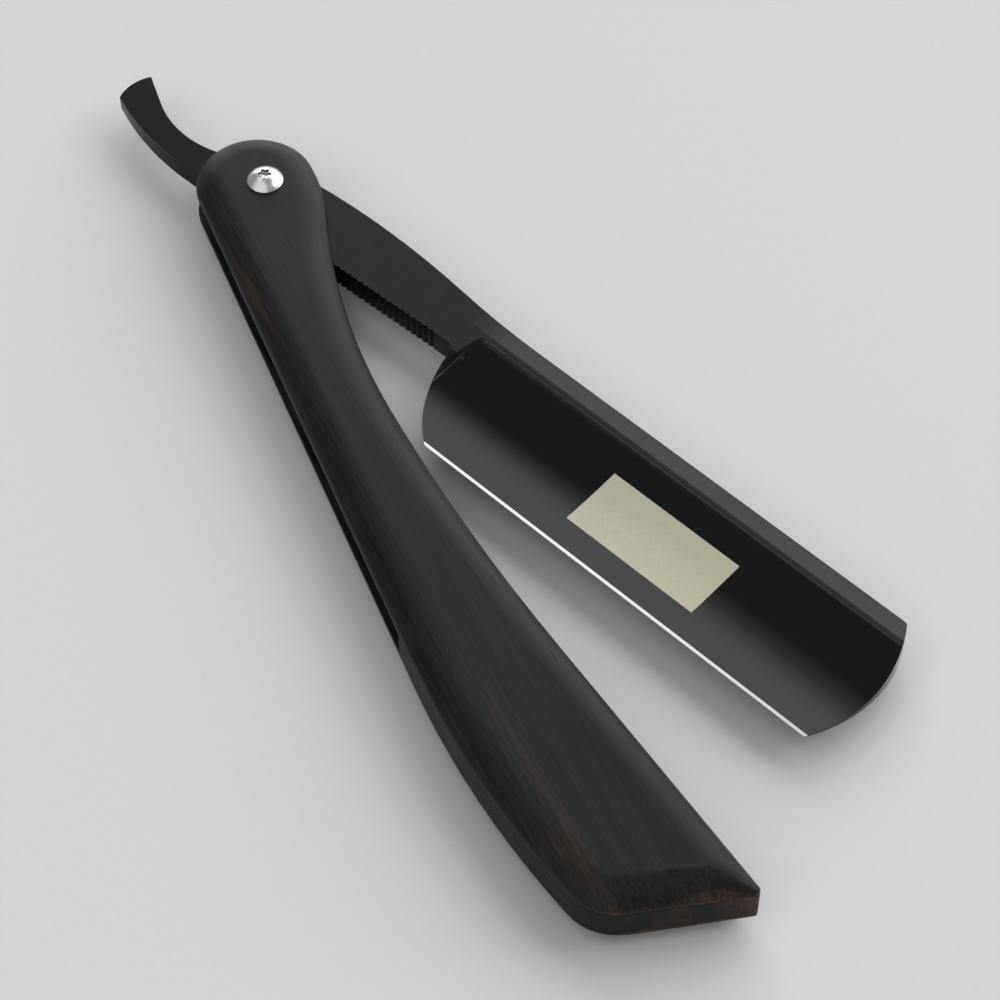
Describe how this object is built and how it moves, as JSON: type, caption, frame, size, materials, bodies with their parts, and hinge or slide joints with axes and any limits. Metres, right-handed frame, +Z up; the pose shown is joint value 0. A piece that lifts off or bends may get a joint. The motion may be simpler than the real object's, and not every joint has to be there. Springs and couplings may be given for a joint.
{
  "type": "straight razor",
  "caption": "Folding straight razor: hollow-ground blade with curved tail and jimped shank, pivoting between two wooden scales held apart by a wedge.",
  "frame": {"origin": "on the flat underside of the lower scale, under the middle of the handle", "axes": "+X along the handle from the pivot end to the wedge end, +Y towards the side the blade folds in from, +Z up out of the upper scale, along the pivot"},
  "size_m": [0.1683, 0.0628, 0.0123],
  "materials": {
    "blade_steel": "blackened steel, satin tang and spine, mirror-polished hollow, bare bright cutting bevel",
    "scale_wood": "satin ebony",
    "wedge_wood": "satin ebony, end grain showing",
    "pivot_steel": "polished stainless steel",
    "washer_metal": "plain rolled"
  },
  "bodies": {
    "handle": {"upper_scale": "scale_wood", "lower_scale": "scale_wood", "wedge": "wedge_wood", "pivot_screw": "pivot_steel", "sleeve_nut": "pivot_steel", "upper_washer": "washer_metal", "lower_washer": "washer_metal"},
    "blade": {"blade": "blade_steel"}
  },
  "joints": [
    {"name": "blade_pivot", "type": "hinge", "parent": "handle", "child": "blade", "pos_m": [-0.068, 0.007, 0.00535], "axis": [0, 0, 1], "range_deg": [-16.1, 324]}
  ]
}
